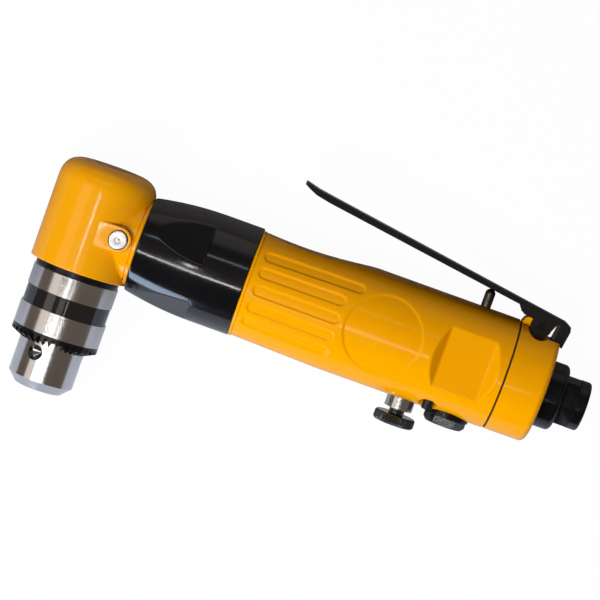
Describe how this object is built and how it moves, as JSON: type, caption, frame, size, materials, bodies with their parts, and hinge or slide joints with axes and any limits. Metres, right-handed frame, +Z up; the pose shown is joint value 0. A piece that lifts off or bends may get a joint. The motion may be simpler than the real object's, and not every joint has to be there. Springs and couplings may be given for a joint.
{
  "type": "pneumatic right angle drill",
  "caption": "Lever-throttle pneumatic right angle drill with a keyed chuck, bevel and planetary gearing, vane motor, speed regulator and rear air inlet.",
  "frame": {"origin": "centre of the bounding box on the surface that the tool lies on", "axes": "+X along the motor axis from the angle head to the air inlet, +Y to the lever side with the chuck pointing to -Y, +Z up out of the side that the picture shows"},
  "size_m": [0.2182, 0.1102, 0.0438],
  "materials": {
    "enamel": "glossy orange-yellow enamel",
    "black_gloss": "glossy black paint",
    "black_oxide": "black oxide, semi-gloss",
    "bright_steel": "finely turned, bright",
    "gear_steel": "hardened, satin",
    "bronze": "satin bronze",
    "liner_steel": "ground",
    "fibre": "laminated fibre",
    "seal": "matte"
  },
  "bodies": {
    "tool": {"angle_head": "enamel", "grease_fitting": "bright_steel", "bearing_cap": "black_oxide", "spindle_bush": "bronze", "spindle_bearing": "bright_steel", "pinion_bearings": "bright_steel", "bearing_spacer": "gear_steel", "ring_gear": "gear_steel", "coupling_nut": "black_gloss", "front_plate": "liner_steel", "front_bearing": "bright_steel", "cylinder_liner": "liner_steel", "rear_plate": "liner_steel", "rear_bearing": "bright_steel", "locating_dowel": "bright_steel", "motor_housing": "enamel", "valve_bush": "bronze", "valve_seat": "seal", "valve_spring": "bright_steel", "valve_plug": "black_oxide", "plug_washer": "black_oxide", "regulator_bush": "bright_steel", "lock_pin": "black_oxide", "gasket": "seal", "end_cap": "enamel", "inlet_bushing": "black_oxide", "inlet_screen": "bright_steel", "lever_pivot": "black_oxide"},
    "spindle_unit": {"spindle": "bright_steel", "bevel_gear": "gear_steel", "chuck_body": "bright_steel"},
    "carrier_unit": {"bevel_pinion": "gear_steel", "planet_carrier": "gear_steel", "planet_pins": "bright_steel"},
    "planet_a": {"planet_1": "gear_steel"},
    "planet_b": {"planet_2": "gear_steel"},
    "planet_c": {"planet_3": "gear_steel"},
    "rotor_unit": {"rotor": "gear_steel", "vanes": "fibre"},
    "sleeve_unit": {"chuck_band": "black_oxide", "chuck_sleeve": "bright_steel", "tooth_ring": "black_oxide", "chuck_nut": "gear_steel"},
    "jaw_a": {"jaw_1": "gear_steel"},
    "jaw_b": {"jaw_2": "gear_steel"},
    "jaw_c": {"jaw_3": "gear_steel"},
    "throttle_lever": {"lever": "black_gloss"},
    "valve_unit": {"valve_pin": "black_oxide", "throttle_valve": "bronze"},
    "regulator": {"regulator_screw": "black_oxide"}
  },
  "joints": [
    {"name": "chuck_spin", "type": "hinge", "parent": "tool", "child": "spindle_unit", "pos_m": [-0.0899, 0.0101, 0.0219], "axis": [0, 1, 0], "continuous": true},
    {"name": "pinion_spin", "type": "hinge", "parent": "tool", "child": "carrier_unit", "pos_m": [-0.0649, 0.0101, 0.0219], "axis": [1, 0, 0], "continuous": true},
    {"name": "planet_1_spin", "type": "hinge", "parent": "carrier_unit", "child": "planet_a", "pos_m": [-0.0499, 0.01835, 0.0219], "axis": [1, 0, 0], "continuous": true},
    {"name": "planet_2_spin", "type": "hinge", "parent": "carrier_unit", "child": "planet_b", "pos_m": [-0.0499, 0.00598, 0.01476], "axis": [1, 0, 0], "continuous": true},
    {"name": "planet_3_spin", "type": "hinge", "parent": "carrier_unit", "child": "planet_c", "pos_m": [-0.0499, 0.00598, 0.02905], "axis": [1, 0, 0], "continuous": true},
    {"name": "rotor_spin", "type": "hinge", "parent": "tool", "child": "rotor_unit", "pos_m": [-0.0149, 0.0101, 0.0219], "axis": [1, 0, 0], "continuous": true},
    {"name": "sleeve_turn", "type": "hinge", "parent": "spindle_unit", "child": "sleeve_unit", "pos_m": [-0.0899, -0.0299, 0.0219], "axis": [0, 1, 0], "range_deg": [-989, 2862]},
    {"name": "jaw_1_slide", "type": "slide", "parent": "spindle_unit", "child": "jaw_a", "axis": [0.2551, -0.9659, -0.045], "range_m": [-0.00386, 0.0112]},
    {"name": "jaw_2_slide", "type": "slide", "parent": "spindle_unit", "child": "jaw_b", "axis": [-0.0886, -0.9659, 0.2434], "range_m": [-0.00386, 0.0112]},
    {"name": "jaw_3_slide", "type": "slide", "parent": "spindle_unit", "child": "jaw_c", "axis": [-0.1665, -0.9659, -0.1984], "range_m": [-0.00386, 0.0112]},
    {"name": "lever_swing", "type": "hinge", "parent": "tool", "child": "throttle_lever", "pos_m": [0.0826, 0.0324, 0.0219], "axis": [0, 0, 1], "range_deg": [0, 9.5], "stiffness_Nm_per_rad": 0.6, "springref_deg": -8.02},
    {"name": "valve_slide", "type": "slide", "parent": "tool", "child": "valve_unit", "axis": [0, -1, 0], "range_m": [0, 0.00372], "deforming": ["valve_spring"]},
    {"name": "regulator_turn", "type": "hinge", "parent": "tool", "child": "regulator", "pos_m": [0.0425, -0.0099, 0.0219], "axis": [0, 1, 0], "range_deg": [0, 90]}
  ],
  "couplings": [
    {"joint": "pinion_spin", "follows": "chuck_spin", "ratio": -1.6},
    {"joint": "rotor_spin", "follows": "chuck_spin", "ratio": -8},
    {"joint": "planet_1_spin", "follows": "chuck_spin", "ratio": 4.2667},
    {"joint": "planet_2_spin", "follows": "chuck_spin", "ratio": 4.2667},
    {"joint": "planet_3_spin", "follows": "chuck_spin", "ratio": 4.2667},
    {"joint": "sleeve_turn", "follows": "jaw_1_slide", "rad_per_m": 4456.2},
    {"joint": "jaw_2_slide", "follows": "jaw_1_slide", "ratio": 1},
    {"joint": "jaw_3_slide", "follows": "jaw_1_slide", "ratio": 1},
    {"joint": "valve_slide", "follows": "lever_swing", "m_per_rad": 0.0223}
  ]
}
